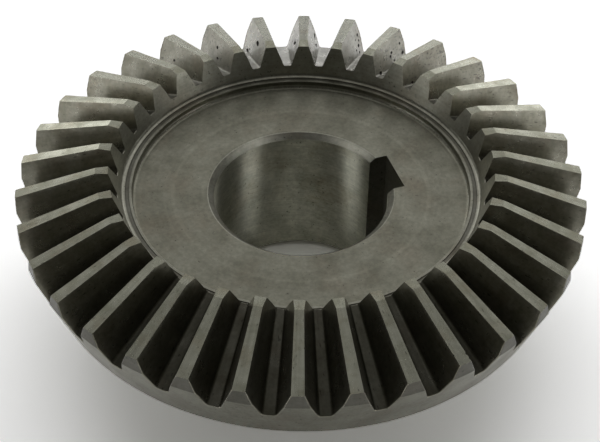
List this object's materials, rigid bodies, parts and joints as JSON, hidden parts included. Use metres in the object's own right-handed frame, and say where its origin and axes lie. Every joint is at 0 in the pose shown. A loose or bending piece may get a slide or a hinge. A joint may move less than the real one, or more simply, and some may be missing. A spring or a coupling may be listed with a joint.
{
  "type": "bevel gear",
  "caption": "Straight bevel gear with a recessed front face, a plain rear hub and a keyed round bore, machined from one steel blank.",
  "frame": {"origin": "centre of the rear hub face, on the bore axis", "axes": "+Z along the bore from the hub towards the pitch apex, so the teeth look up; +X through the middle of the keyway"},
  "size_m": [0.1362, 0.1362, 0.0468],
  "materials": {
    "machined_steel": "turned and cut steel, matt, lightly brushed"
  },
  "bodies": {
    "root": {"bevel_gear": "machined_steel"}
  },
  "joints": []
}
